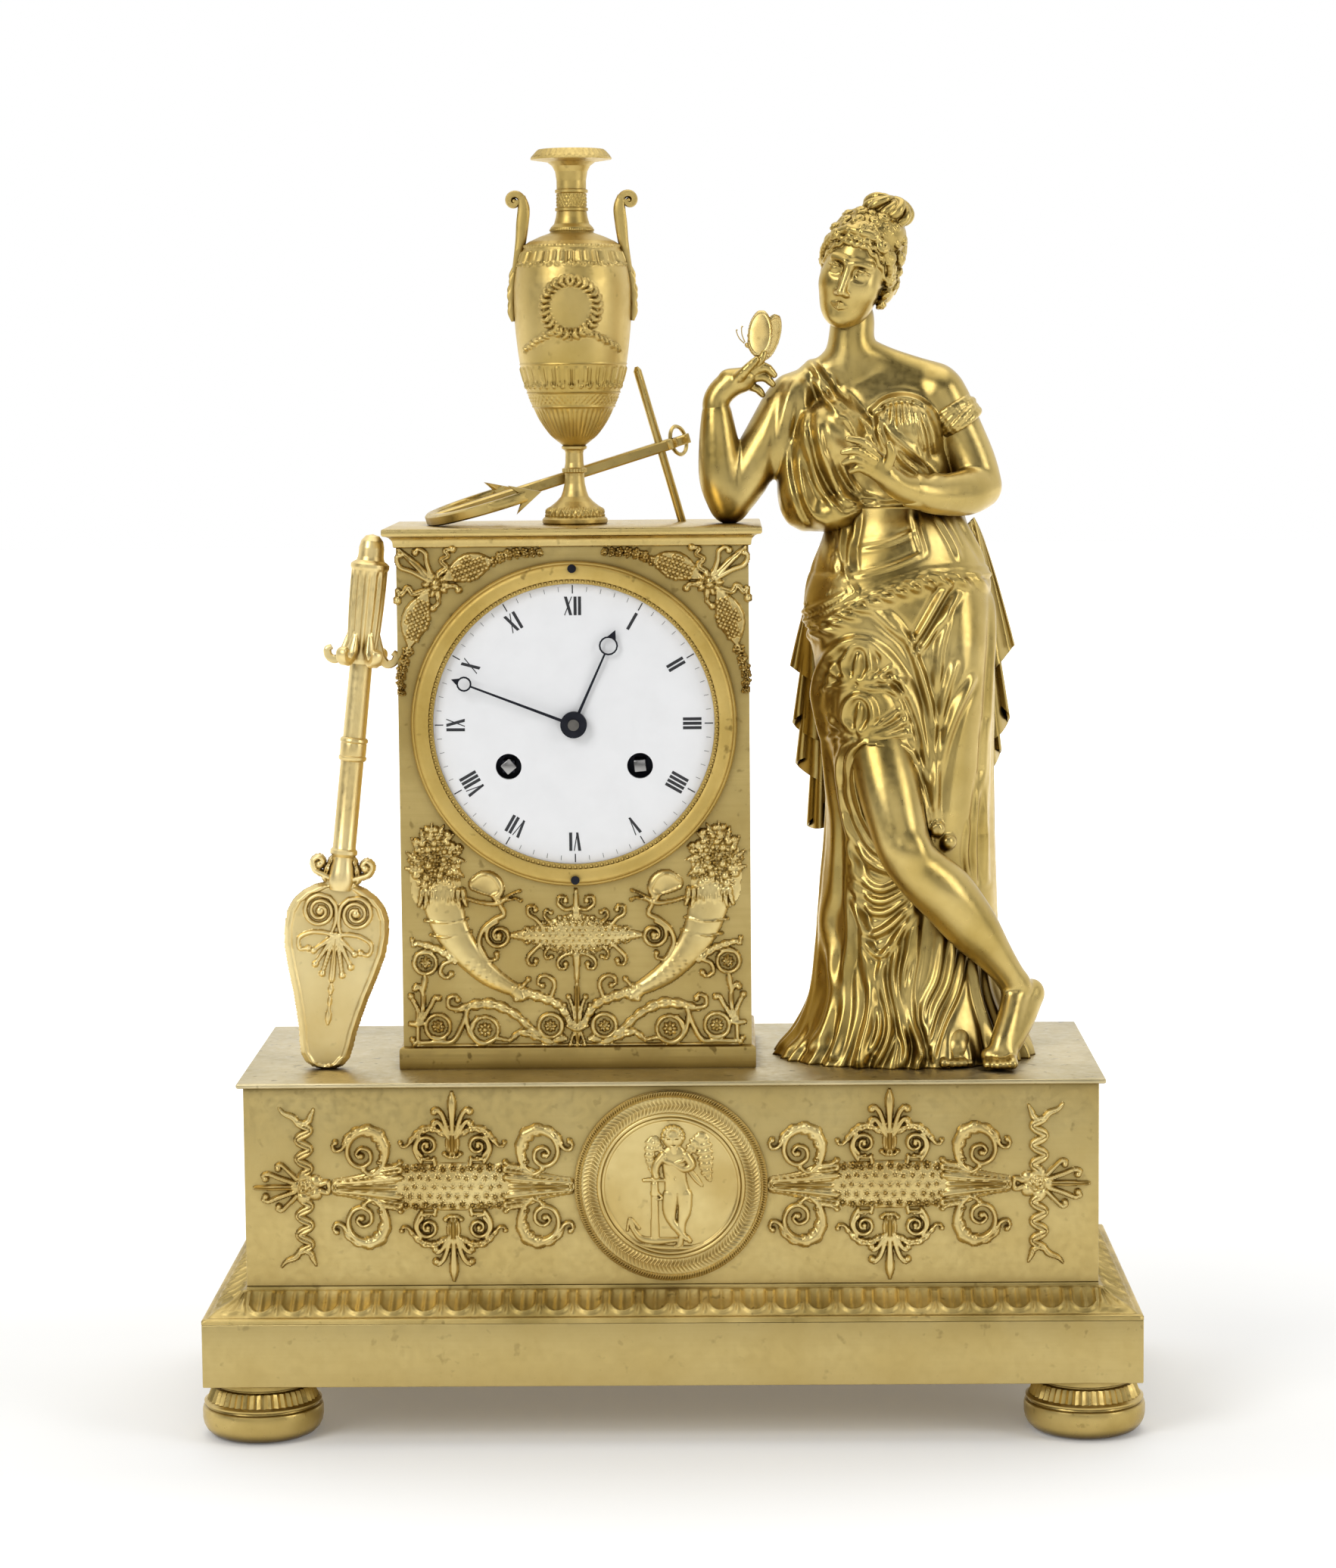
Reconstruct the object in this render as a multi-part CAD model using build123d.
from build123d import *

# Figural mantel clock in gilt bronze. A draped woman leans her elbow on a clock pedestal that carries
# a vase and an anchor; a steering oar stands on the other side, and all of it on a footed base.
# Millimetres, +Z up, origin on the table under the middle of the base, the dial facing -Y.
import os
from math import cos, pi, radians, sin

# Base: bun feet, plinth, leaf moulding, frieze block and slab
FOOT_RADIUS = 21.5
FOOT_HEIGHT = 21.0
FOOT_NECK_RADIUS = 17.0
FOOT_NECK_HEIGHT = 2.5
FOOT_SHOULDER_HEIGHT = 6.5
FOOT_INSET = 19.0
PLINTH_WIDTH = 331.0
PLINTH_DEPTH = 145.0
PLINTH_HEIGHT = 22.7
MOULDING_HEIGHT = 10.2
MOULDING_FILLET = 1.2
BLOCK_SETBACK = 14.5
BLOCK_HEIGHT = 71.6
SLAB_OVERHANG = 2.3
SLAB_THICKNESS = 1.8
BASE_WALL = 3.0
BOLT_RADIUS = 2.5
BOLT_DEPTH = 14.0
NUT_RADIUS = 4.5
NUT_HEIGHT = 4.0
STUD_RADIUS = 2.0
STUD_REACH = 5.0

# Clock pedestal, to the left of the base's middle
PEDESTAL_X = -33.5
PEDESTAL_WIDTH = 125.0
PEDESTAL_DEPTH = 64.0
PEDESTAL_HEIGHT = 179.0
PEDESTAL_WALL = 3.0
PEDESTAL_FOOT_HEIGHT = 8.2
PEDESTAL_FOOT_OVERHANG = 1.5
CORNICE_HEIGHT = 6.7
CORNICE_OVERHANG = 4.8
CORNICE_LIP = 2.4

# Dial, bezel and hands, about the dial's centre
DIAL_HEIGHT = 124.1
DIAL_RADIUS = 52.5
DIAL_SIGHT_RADIUS = 50.0
DIAL_THICKNESS = 1.6
DIAL_RISE = 1.2
DIAL_FOOT_RADIUS = 2.0
DIAL_FOOT_SPREAD = 40.0
HAND_HOLE_CLEARANCE = 0.6
BEZEL_RADIUS = 58.0
BEZEL_HEIGHT = 5.2
BEZEL_SCREW_RADIUS = 1.1
WINDING_SPREAD = 23.4
WINDING_DROP = 15.0
WINDING_HOLE_RADIUS = 4.6
HOUR_HAND_LENGTH = 36.8
HOUR_RING_RADIUS = 3.4
HOUR_ANGLE = 24.3
MINUTE_HAND_LENGTH = 46.3
MINUTE_RING_RADIUS = 2.7
MINUTE_ANGLE = 291.0
HAND_THICKNESS = 0.6
HAND_WIDTH = 1.1
HAND_RING_WIDTH = 0.6
HAND_BOSS_RADIUS = 4.7

# Movement: round plates, barrels, motion work, escapement, pendulum and strike
PLATE_RADIUS = 44.0
PLATE_THICKNESS = 2.0
PLATE_SPACING = 32.5
PLATE_SETBACK = 11.5
PILLAR_RADIUS = 3.0
BARREL_RADIUS = 15.5
BARREL_LENGTH = 20.0
WINDING_SQUARE = 4.2
ARBOR_RADIUS = 2.6
MODULE_MINUTE = 0.75
MODULE_HOUR = 0.6
CANNON_TEETH = 8
MINUTE_Wheel_TEETH = 24
MINUTE_PINION_TEETH = 8
HOUR_Wheel_TEETH = 32
Wheel_THICKNESS = 1.6
CENTRE_PIPE_RADIUS = 2.0
HOUR_PIPE_RADIUS = 3.2
ESCAPE_RADIUS = 9.0
ESCAPE_TEETH = 30
PALLET_HEIGHT = 38.5
PALLET_LIFT = 4.4
CRUTCH_DROP = 30.0
CRUTCH_THICKNESS = 1.0
CRUTCH_PIN_WIDTH = 1.2
PENDULUM_LENGTH = 122.0
ROD_RADIUS = 0.8
COCK_PIN_RADIUS = 1.2
EYE_RADIUS = 2.6
BOB_RADIUS = 11.0
BOB_THICKNESS = 6.0
BELL_RADIUS = 27.0
BELL_HEIGHT = 10.0
BELL_WALL = 1.4
BELL_STAND_RADIUS = 2.0
HAMMER_HEAD_RADIUS = 3.0
HAMMER_HEAD_LENGTH = 5.0
HAMMER_HEAD_ANGLE = 205.0
COUNT_Wheel_RADIUS = 13.0
RUNNING_CLEARANCE = 0.06
GAP = 0.3

# Rear bezel and door on the back of the pedestal
REAR_OPENING_RADIUS = 42.0
REAR_RING_RADIUS = 52.0
REAR_RING_THICKNESS = 3.0
DOOR_RADIUS = 50.0
DOOR_THICKNESS = 2.0
HINGE_PIN_RADIUS = 0.9
HINGE_KNUCKLE_RADIUS = 2.0
HINGE_KNUCKLE_LENGTH = 6.0
STRAP_WIDTH = 8.0
STRAP_THICKNESS = 3.5
STRAP_SCREW_RADIUS = 1.1
STRAP_SCREW_LENGTH = 9.0
DOOR_KNOB_RADIUS = 2.4

# Vase on the pedestal, heights above the cornice
VASE_FOOT_RADIUS = 11.8
VASE_STEM_RADIUS = 3.5
VASE_STEM_HEIGHT = 28.4
VASE_RADIUS = 21.2
VASE_BODY_HEIGHT = 75.6
VASE_SHOULDER_RADIUS = 17.4
VASE_NECK_RADIUS = 5.2
VASE_NECK_HEIGHT = 30.2
VASE_LIP_RADIUS = 14.5
VASE_LIP_HEIGHT = 4.2
VASE_WALL = 2.0
VASE_ROD_RADIUS = 1.5
HANDLE_WIDTH = 3.6
HANDLE_DEPTH = 5.0
HANDLE_RISE = 12.5
HANDLE_SCROLL_RADIUS = 2.9

# Anchor lying across the pedestal's top, behind the vase
ANCHOR_X = -52.0
ANCHOR_Y = -6.0
ANCHOR_YAW = 14.0
ANCHOR_RISE = 16.5
SHANK_LENGTH = 89.0
SHANK_TIP_LENGTH = 11.0
SHANK_WIDTH = 4.4
SHANK_THICKNESS = 4.0
ARM_SPREAD = 24.0
ARM_REACH = 33.0
STOCK_RADIUS = 1.5
STOCK_TOP = 29.0
RING_RADIUS = 5.2
RING_WIRE_RADIUS = 0.75
RING_EYE_RADIUS = 1.5
RING_TURN = 45.0

# Steering oar leaning on the left of the cornice
OAR_FOOT_X = -125.0
OAR_FOOT_Y = -31.0
OAR_TOP_Y = -25.0
OAR_SHAFT_RADIUS = 4.2
OAR_BLADE_LENGTH = 67.5
OAR_CAPITAL_LENGTH = 11.5
OAR_BLADE_WIDTH = 37.5
OAR_BLADE_THICKNESS = 5.0
OAR_HANDLE_LENGTH = 47.0
OAR_HANDLE_RADIUS = 6.6
OAR_HANDLE_FLUTES = 12

# Standing figure, to the right of the pedestal
FIGURE_X = 86.0
FIGURE_Y = 0.0
SKIRT_HEIGHT = 193.0
ELBOW_RADIUS = 6.4
HEAD_TILT = 17.0
SKIRT_FOLDS = 11
TORSO_SIDES = 14
LIMB_SIDES = 8
BALL_SIDES = 10
BALL_RINGS = 5
WING_LENGTH = 12.0
WING_THICKNESS = 0.9

# Relief mounts
RELIEF = 2.4
SCROLL_WIDTH = 1.5
FRIEZE_LENGTH = 85.4
FRIEZE_WAIST = 14.6
MEDALLION_RADIUS = 34.2
MEDALLION_FIELD_RADIUS = 26.0
MEDALLION_THICKNESS = 3.0
RIBBON_HEIGHT = 57.0
ROSETTE_RADIUS = 5.7

# Heights and planes that follow from the sizes above
plinth_z = FOOT_HEIGHT
moulding_z = plinth_z + PLINTH_HEIGHT
block_z = moulding_z + MOULDING_HEIGHT
slab_z = block_z + BLOCK_HEIGHT
slab_top = slab_z + SLAB_THICKNESS
case_z = slab_top + PEDESTAL_FOOT_HEIGHT
cornice_z = case_z + PEDESTAL_HEIGHT
cornice_top = cornice_z + CORNICE_HEIGHT
case_front = -PEDESTAL_DEPTH / 2
block_width = PLINTH_WIDTH - 2 * BLOCK_SETBACK
block_depth = PLINTH_DEPTH - 2 * BLOCK_SETBACK
block_front = -block_depth / 2
dial_z = slab_top + DIAL_HEIGHT
BOTTOM = (Align.CENTER, Align.CENTER, Align.MIN)
TOP = (Align.CENTER, Align.CENTER, Align.MAX)


def facing(x, y, z):
    """A plane seen from the front: its x runs right, its y runs up and its z comes forward."""
    return Plane(origin=(x, y, z), x_dir=(1, 0, 0), z_dir=(0, -1, 0))


dial_plane = facing(PEDESTAL_X, case_front, dial_z)


def save(node, shape):
    """Writes one sub-part to its own file."""
    os.makedirs("parts", exist_ok=True)
    export_step(shape, f"parts/{node}.step")


def fused(pieces):
    """One solid, or a few, from pieces that run into each other."""
    first, *rest = pieces
    return first.fuse(*rest) if rest else first


def polar(radius, angle):
    """A point at that radius, with the angle in degrees from the x axis."""
    return radius * cos(radians(angle)), radius * sin(radians(angle))


def outline(*points):
    """A straight-sided outline through the points."""
    return Polyline(*points, close=True).edges()


def faceted(curve, count):
    """Points along a curve, for an outline cut in that many straight facets."""
    return [curve @ (i / count) for i in range(count + 1)]


def turned(*points):
    """A body turned about Z from an outline in (radius, height)."""
    return revolve(Plane.XZ * make_face(outline(*points)), Axis.Z)


def strip(points, width):
    """A flat band of even width along the points."""
    places = [Vector(*point) for point in points]
    left, right = [], []
    for i, place in enumerate(places):
        along = (places[min(i + 1, len(places) - 1)] - places[max(i - 1, 0)]).normalized()
        across = Vector(-along.Y, along.X) * (width / 2)
        left.append(place + across)
        right.append(place - across)
    return make_face(outline(*left, *reversed(right)))


def mitred(width, depth, z, side):
    """A rectangular moulding with mitred corners. side(half) gives the right-hand points, bottom to top."""

    def bar(span, length, plane):
        right = [Vector(*point) for point in side(span / 2)]
        left = [Vector(-point.X, point.Y) for point in reversed(right)]
        return extrude(plane * make_face(outline(*right, *left)), length / 2, both=True)

    return Pos(0, 0, z) * (bar(width, depth, Plane.XZ) & bar(depth, width, Plane.YZ))


def gear(teeth, module, thickness, phase=0.0):
    """A spur wheel with straight-flanked teeth. A tooth points along the angle phase, in degrees."""
    pitch = 360 / teeth
    root, tip = module * (teeth / 2 - 1.2), module * (teeth / 2 + 0.9)
    points = []
    for i in range(teeth):
        middle = phase + i * pitch
        for radius, share in ((root, -0.3), (tip, -0.1), (tip, 0.1), (root, 0.3)):
            points.append(polar(radius, middle + share * pitch))
    return extrude(make_face(outline(*points)), thickness)


def skin(sections):
    """A closed body in flat facets over sections that each have as many points."""
    faces = [Face(Wire.make_polygon(sections[0])), Face(Wire.make_polygon(sections[-1]))]
    for low, high in zip(sections, sections[1:]):
        for i in range(len(low)):
            here, there = low[i - 1], high[i - 1]
            faces.append(Face(Wire.make_polygon([here, low[i], high[i]])))
            faces.append(Face(Wire.make_polygon([here, high[i], there])))
    return Solid(Shell(faces))


def ring_points(plane, sides, across, deep):
    """Points round an oval in the plane."""
    angles = [2 * pi * i / sides for i in range(sides)]
    return [plane.from_local_coords(Vector(across * cos(a), deep * sin(a))) for a in angles]


def limb(stations):
    """A limb through (point, radius) stations along its length."""
    points = [Vector(*p) for p, _ in stations]
    sections = []
    for i, (_, radius) in enumerate(stations):
        along = points[min(i + 1, len(points) - 1)] - points[max(i - 1, 0)]
        along = along.normalized()
        across = Vector(0.31, 1, 0.17)
        across = across - along * across.dot(along)
        plane = Plane(origin=points[i], x_dir=across, z_dir=along)
        sections.append(ring_points(plane, LIMB_SIDES, radius, radius))
    return skin(sections)


def ellipsoid(centre, radii, tilt=0.0):
    """A ball with three radii, tilted about Y."""
    across, deep, high = radii
    rings = []
    for i in range(BALL_RINGS):
        angle = pi * (i + 0.5) / BALL_RINGS
        plane = Plane.XY.offset(-high * cos(angle))
        rings.append(ring_points(plane, BALL_SIDES, across * sin(angle), deep * sin(angle)))
    return Pos(*centre) * Rot(0, tilt, 0) * skin(rings)


def volute(x, y, radius, entry, turn):
    """A scroll that tightens round (x, y). It starts at the polar angle entry, in degrees, and winds left
    for a turn of +1 or right for -1."""
    points = []
    for i in range(11):
        reach_x, reach_y = polar(radius * (1 - 0.075 * i), entry + 45 * i * turn)
        points.append((x + reach_x, y + reach_y))
    return strip(points, SCROLL_WIDTH)


def leaf(x, y, length, width, angle):
    """A pointed leaf from (x, y) along the angle, in degrees."""
    half = width / 2
    edge = [(0.25 * length, 0.85 * half), (0.55 * length, half)]
    points = [(0, 0), *edge, (length, 0), *[(across, -up) for across, up in reversed(edge)]]
    return Pos(x, y) * Rot(0, 0, angle) * make_face(outline(*points))


def palmette(x, y, length, angle):
    """A fan of five leaves, the middle one longest."""
    fan = [(0, 1.0), (17, 0.68), (-17, 0.68), (34, 0.5), (-34, 0.5)]
    return [leaf(x, y, share * length, 0.14 * length, angle + swing) for swing, share in fan]


def relief(plane, middle, sides, height):
    """A cast mount raised to the height from the plane: flat shapes that run together, those in sides
    with their mirror images across the middle."""
    wings = [extrude(shape, height) for shape in sides]
    pieces = [extrude(shape, height) for shape in middle] + wings
    pieces += [mirror(wing, about=Plane.YZ) for wing in wings]
    return plane * fused(pieces)


# Base
foot_x = PLINTH_WIDTH / 2 - FOOT_INSET
foot_y = PLINTH_DEPTH / 2 - FOOT_INSET
corners = [(sx * foot_x, sy * foot_y) for sx in (-1, 1) for sy in (-1, 1)]


def bun_foot():
    neck_z = FOOT_HEIGHT - FOOT_NECK_HEIGHT
    waist_z = neck_z - FOOT_SHOULDER_HEIGHT
    toe = 0.09 * FOOT_RADIUS
    body = turned(
        (0, 0),
        (FOOT_RADIUS - toe, 0),
        (FOOT_RADIUS, 1.5 * toe),
        (FOOT_RADIUS, waist_z),
        (FOOT_NECK_RADIUS, neck_z),
        (FOOT_NECK_RADIUS, FOOT_HEIGHT),
        (0, FOOT_HEIGHT),
    )
    return body - Pos(0, 0, FOOT_HEIGHT) * Cylinder(BOLT_RADIUS, BOLT_DEPTH, align=TOP)


def foot_bolt():
    low, high = FOOT_HEIGHT - BOLT_DEPTH, FOOT_HEIGHT + BASE_WALL
    shank = Pos(0, 0, low) * Cylinder(BOLT_RADIUS, high - low, align=BOTTOM)
    return shank + Pos(0, 0, high) * extrude(RegularPolygon(NUT_RADIUS, 6), NUT_HEIGHT)


save("bun_feet", Compound([Pos(x, y, 0) * bun_foot() for x, y in corners]))
save("foot_bolts", Compound([Pos(x, y, 0) * foot_bolt() for x, y in corners]))

plinth = Pos(0, 0, plinth_z) * Box(PLINTH_WIDTH, PLINTH_DEPTH, PLINTH_HEIGHT, align=BOTTOM)
plinth -= Pos(0, 0, plinth_z + BASE_WALL) * Box(
    PLINTH_WIDTH - 2 * BASE_WALL, PLINTH_DEPTH - 2 * BASE_WALL, PLINTH_HEIGHT, align=BOTTOM
)
for x, y in corners:
    plinth -= Pos(x, y, plinth_z) * Cylinder(BOLT_RADIUS, BASE_WALL, align=BOTTOM)
save("plinth", plinth)


def leaf_moulding_side(half):
    edge, top = half - 0.5 * MOULDING_FILLET, MOULDING_HEIGHT - 0.5 * MOULDING_FILLET
    ogee = Bezier(
        (edge, MOULDING_FILLET),
        (edge - 0.65 * BLOCK_SETBACK, MOULDING_FILLET),
        (edge - 0.25 * BLOCK_SETBACK, top),
        (half - BLOCK_SETBACK, top),
    )
    return [(edge, 0), *faceted(ogee, 8), (half - BLOCK_SETBACK, MOULDING_HEIGHT)]


block_hole = (block_width - 2 * BASE_WALL, block_depth - 2 * BASE_WALL)
moulding = mitred(PLINTH_WIDTH, PLINTH_DEPTH, moulding_z, leaf_moulding_side)
moulding -= Pos(0, 0, moulding_z) * Box(*block_hole, MOULDING_HEIGHT, align=BOTTOM)
save("leaf_moulding", moulding)

block = Box(block_width, block_depth, BLOCK_HEIGHT, align=BOTTOM)
block -= Box(*block_hole, BLOCK_HEIGHT, align=BOTTOM)
save("frieze_block", Pos(0, 0, block_z) * block)

slab = Box(
    block_width + 2 * SLAB_OVERHANG, block_depth + 2 * SLAB_OVERHANG, SLAB_THICKNESS, align=BOTTOM
)
slab = chamfer(slab.edges().group_by(Axis.Z)[-1], 0.3 * SLAB_THICKNESS)
slab = Pos(0, 0, slab_z) * slab

# Studs that hold the pedestal, the figure and the oar down, with their nuts under the slab
stud_places = [
    (PEDESTAL_X - 0.42 * PEDESTAL_WIDTH, 0),
    (PEDESTAL_X + 0.42 * PEDESTAL_WIDTH, 0),
    (FIGURE_X - 12, FIGURE_Y - 4),
    (FIGURE_X + 12, FIGURE_Y - 4),
]


def holding_stud():
    low = slab_z - NUT_HEIGHT
    rod = Pos(0, 0, slab_z) * Cylinder(STUD_RADIUS, SLAB_THICKNESS + STUD_REACH, align=BOTTOM)
    return rod + Pos(0, 0, low) * extrude(RegularPolygon(NUT_RADIUS, 6), NUT_HEIGHT)


for x, y in stud_places:
    slab -= Pos(x, y, slab_z) * Cylinder(STUD_RADIUS, SLAB_THICKNESS, align=BOTTOM)
save("base_slab", slab)
save("holding_studs", Compound([Pos(x, y, 0) * holding_stud() for x, y in stud_places]))


# Pedestal
def stud_bores(height):
    low = [Pos(x - PEDESTAL_X, y) for x, y in stud_places[:2]]
    return [place * Cylinder(STUD_RADIUS, height, align=BOTTOM) for place in low]


pedestal_foot = Box(
    PEDESTAL_WIDTH + 2 * PEDESTAL_FOOT_OVERHANG,
    PEDESTAL_DEPTH + 2 * PEDESTAL_FOOT_OVERHANG,
    PEDESTAL_FOOT_HEIGHT,
    align=BOTTOM,
)
pedestal_foot = chamfer(pedestal_foot.edges().group_by(Axis.Z)[-1], 0.5 * PEDESTAL_FOOT_OVERHANG)
for bore in stud_bores(STUD_REACH):
    pedestal_foot -= bore
save("pedestal_foot", Pos(PEDESTAL_X, 0, slab_top) * pedestal_foot)

strap_radius = PLATE_RADIUS + STRAP_THICKNESS
rear_hole_radius = strap_radius + 0.5
front_hole_radius = DIAL_RADIUS + 0.5

case = Box(PEDESTAL_WIDTH, PEDESTAL_DEPTH, PEDESTAL_HEIGHT, align=BOTTOM)
case -= Pos(0, 0, PEDESTAL_WALL) * Box(
    PEDESTAL_WIDTH - 2 * PEDESTAL_WALL,
    PEDESTAL_DEPTH - 2 * PEDESTAL_WALL,
    PEDESTAL_HEIGHT - PEDESTAL_WALL,
    align=BOTTOM,
)
case = Pos(PEDESTAL_X, 0, case_z) * case
case -= dial_plane * Cylinder(front_hole_radius, PEDESTAL_WALL, align=TOP)
case -= (
    dial_plane
    * Pos(0, 0, -PEDESTAL_DEPTH)
    * Cylinder(rear_hole_radius, PEDESTAL_WALL, align=BOTTOM)
)
bezel_screw_places = [polar((BEZEL_RADIUS + front_hole_radius) / 2, a) for a in (90, 270)]
for x, y in bezel_screw_places:
    case -= dial_plane * Pos(x, y) * Cylinder(BEZEL_SCREW_RADIUS, PEDESTAL_WALL, align=TOP)
save("pedestal_case", case)


def cornice_side(half):
    body, step = half - CORNICE_OVERHANG, 0.2 * CORNICE_OVERHANG
    lip_z = CORNICE_HEIGHT - CORNICE_LIP
    neck, tuck = (body + step, step), (half - step, lip_z)
    cove = Bezier(neck, (body + step, 0.7 * lip_z), (half - 0.5 * CORNICE_OVERHANG, lip_z), tuck)
    return [(body + step, 0), *faceted(cove, 5), (half, lip_z), (half, CORNICE_HEIGHT)]


cornice = mitred(
    PEDESTAL_WIDTH + 2 * CORNICE_OVERHANG, PEDESTAL_DEPTH + 2 * CORNICE_OVERHANG, 0, cornice_side
)
cornice -= Cylinder(VASE_ROD_RADIUS, CORNICE_HEIGHT, align=BOTTOM)
save("cornice", Pos(PEDESTAL_X, 0, cornice_z) * cornice)

# Dial and bezel
dial_back = -0.45 * DIAL_THICKNESS
dial_front = dial_back + DIAL_THICKNESS
plate_front = -PLATE_SETBACK
hand_hole_radius = HOUR_PIPE_RADIUS + HAND_HOLE_CLEARANCE
winding_places = [(-WINDING_SPREAD, -WINDING_DROP), (WINDING_SPREAD, -WINDING_DROP)]

dial = turned(
    (0, dial_back),
    (DIAL_RADIUS, dial_back),
    (DIAL_RADIUS, dial_front),
    (0.7 * DIAL_RADIUS, dial_front + DIAL_RISE),
    (0, dial_front + DIAL_RISE),
)
dial -= Cylinder(hand_hole_radius, 4 * DIAL_RISE + DIAL_THICKNESS)
for x, y in winding_places:
    dial -= Pos(x, y) * Cylinder(WINDING_HOLE_RADIUS, 4 * DIAL_RISE + DIAL_THICKNESS)
for angle in (90, 205, 335):
    x, y = polar(DIAL_FOOT_SPREAD, angle)
    dial += Pos(x, y, plate_front) * Cylinder(
        DIAL_FOOT_RADIUS, dial_back - plate_front, align=BOTTOM
    )
save("dial", dial_plane * dial)

bezel_lip = dial_front + 0.2 * DIAL_RISE
bezel = turned(
    (front_hole_radius, 0),
    (BEZEL_RADIUS, 0),
    (BEZEL_RADIUS, 0.22 * BEZEL_HEIGHT),
    (BEZEL_RADIUS - 0.52 * BEZEL_HEIGHT, BEZEL_HEIGHT),
    (DIAL_SIGHT_RADIUS, 0.7 * BEZEL_HEIGHT),
    (DIAL_SIGHT_RADIUS, bezel_lip),
    (front_hole_radius, bezel_lip),
)
screw_head = 1.4 * BEZEL_SCREW_RADIUS
bezel_screws = []
for x, y in bezel_screw_places:
    shank = Pos(x, y, -PEDESTAL_WALL) * Cylinder(
        BEZEL_SCREW_RADIUS, PEDESTAL_WALL + BEZEL_HEIGHT, align=BOTTOM
    )
    bezel -= Pos(x, y) * Cylinder(BEZEL_SCREW_RADIUS, 3 * BEZEL_HEIGHT)
    bezel_screws.append(shank + Pos(x, y, BEZEL_HEIGHT) * Cylinder(screw_head, 0.5, align=BOTTOM))
save("bezel", dial_plane * bezel)
save("bezel_screws", Compound([dial_plane * screw for screw in bezel_screws]))


# Hands and motion work
hour_hand_z = dial_front + DIAL_RISE + 0.8
minute_hand_z = hour_hand_z + HAND_THICKNESS + 1.2
hour_wheel_z = plate_front + 5.1
minute_wheel_z = plate_front + 1.7
centre_distance = MODULE_MINUTE * (CANNON_TEETH + MINUTE_Wheel_TEETH) / 2


def hand(length, ring_radius, bore, angle):
    """A slim hand with an open ring near its point, turned clockwise from twelve."""
    ring_y = length - 1.8 * ring_radius
    neck = ring_y - ring_radius + HAND_RING_WIDTH / 2
    blade = make_face(
        outline(
            (-0.5 * HAND_WIDTH, 0),
            (0.5 * HAND_WIDTH, 0),
            (0.3 * HAND_WIDTH, neck),
            (-0.3 * HAND_WIDTH, neck),
        )
    )
    tip_y = ring_y + 0.9 * ring_radius
    tip = make_face(outline((-0.45 * ring_radius, tip_y), (0.45 * ring_radius, tip_y), (0, length)))
    hoop = RegularPolygon(ring_radius, 16) - RegularPolygon(ring_radius - HAND_RING_WIDTH, 16)
    ring = Pos(0, ring_y) * hoop
    flat = Circle(HAND_BOSS_RADIUS) + blade + tip + ring - Circle(bore)
    return Rot(0, 0, -angle) * extrude(flat, HAND_THICKNESS)


hour_hand = hand(HOUR_HAND_LENGTH, HOUR_RING_RADIUS, HOUR_PIPE_RADIUS, HOUR_ANGLE)
save("hour_hand", dial_plane * Pos(0, 0, hour_hand_z) * hour_hand)
minute_hand = hand(MINUTE_HAND_LENGTH, MINUTE_RING_RADIUS, CENTRE_PIPE_RADIUS, MINUTE_ANGLE)
save("minute_hand", dial_plane * Pos(0, 0, minute_hand_z) * minute_hand)

# The minute wheel sits straight below the centre, so its mate's tooth points down at it
back_plate_front = plate_front - PLATE_THICKNESS - PLATE_SPACING
back_plate_back = back_plate_front - PLATE_THICKNESS
bush_radius = CENTRE_PIPE_RADIUS + RUNNING_CLEARANCE
centre_end = minute_hand_z + HAND_THICKNESS + 0.8
cannon = gear(CANNON_TEETH, MODULE_MINUTE, Wheel_THICKNESS + 1.2, -90)
cannon = Pos(0, 0, minute_wheel_z - 0.6) * cannon
cannon += Pos(0, 0, back_plate_back) * Cylinder(
    CENTRE_PIPE_RADIUS, centre_end - back_plate_back, align=BOTTOM
)
save("cannon_pinion", dial_plane * cannon)

half_tooth = 180 / MINUTE_Wheel_TEETH
minute_post_radius = 1.0
minute_wheel = Pos(0, 0, minute_wheel_z) * gear(
    MINUTE_Wheel_TEETH, MODULE_MINUTE, Wheel_THICKNESS, 90 + half_tooth
)
pinion_length = hour_wheel_z + Wheel_THICKNESS + 0.4 - minute_wheel_z
minute_wheel += Pos(0, 0, minute_wheel_z) * gear(
    MINUTE_PINION_TEETH, MODULE_HOUR, pinion_length, 90
)
minute_wheel -= Cylinder(minute_post_radius + RUNNING_CLEARANCE, 8 * PLATE_SETBACK)
save("minute_wheel", dial_plane * Pos(0, -centre_distance) * minute_wheel)

hour_wheel = Pos(0, 0, hour_wheel_z) * gear(
    HOUR_Wheel_TEETH, MODULE_HOUR, Wheel_THICKNESS, -90 + 180 / HOUR_Wheel_TEETH
)
hour_wheel += Pos(0, 0, hour_wheel_z) * Cylinder(
    HOUR_PIPE_RADIUS, hour_hand_z + HAND_THICKNESS - hour_wheel_z, align=BOTTOM
)
hour_wheel -= Cylinder(bush_radius, 8 * PLATE_SETBACK)
save("hour_wheel", dial_plane * hour_wheel)

# Movement plates, pillars and barrels
pillar_places = [polar(0.86 * PLATE_RADIUS, a) for a in (40, 140, 255, 285)]
arbor_hole = ARBOR_RADIUS + RUNNING_CLEARANCE
escape_y = PALLET_HEIGHT - ESCAPE_RADIUS - PALLET_LIFT
pivot_radius = 1.0
pivot_hole = pivot_radius + RUNNING_CLEARANCE
hammer_pivot = (-20.0, -29.0)
count_pivot = (-24.0, 4.0)
bell_place = (16.0, -2.0)


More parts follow.
